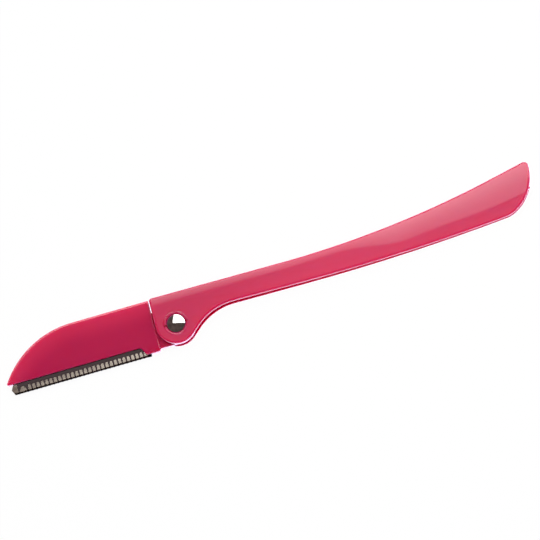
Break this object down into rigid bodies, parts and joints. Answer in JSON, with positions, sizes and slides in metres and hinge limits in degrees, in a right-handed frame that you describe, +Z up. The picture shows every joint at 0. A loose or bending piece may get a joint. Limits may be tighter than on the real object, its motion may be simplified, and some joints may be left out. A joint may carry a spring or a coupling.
{
  "type": "eyebrow razor",
  "caption": "Folding eyebrow razor: a slim tapered plastic handle with a slot along its lower edge, riveted to a round-nosed holder with a thin guarded steel blade.",
  "frame": {"origin": "middle of the open razor's box, on the rear face that it lies on", "axes": "+X from the blade's nose to the handle's butt, +Y from the cutting edge to the spine, +Z up out of the front face"},
  "size_m": [0.1488, 0.023, 0.0051],
  "materials": {
    "handle_plastic": "glossy rose-red moulded plastic",
    "holder_plastic": "satin-gloss raspberry moulded plastic",
    "blade_steel": "fine-ground steel strip",
    "guard_steel": "dark rolled steel sheet",
    "rivet_chrome": "bright plated rivet"
  },
  "bodies": {
    "grip": {"handle": "handle_plastic", "rivet_pin": "rivet_chrome", "rivet_sleeve": "rivet_chrome"},
    "blade_arm": {"blade_holder": "holder_plastic", "blade": "blade_steel", "blade_guard": "guard_steel"}
  },
  "joints": [
    {"name": "fold", "type": "hinge", "parent": "grip", "child": "blade_arm", "pos_m": [-0.02669, -0.00523, 0.0019], "axis": [0, 0, 1], "range_deg": [0, 180]}
  ]
}
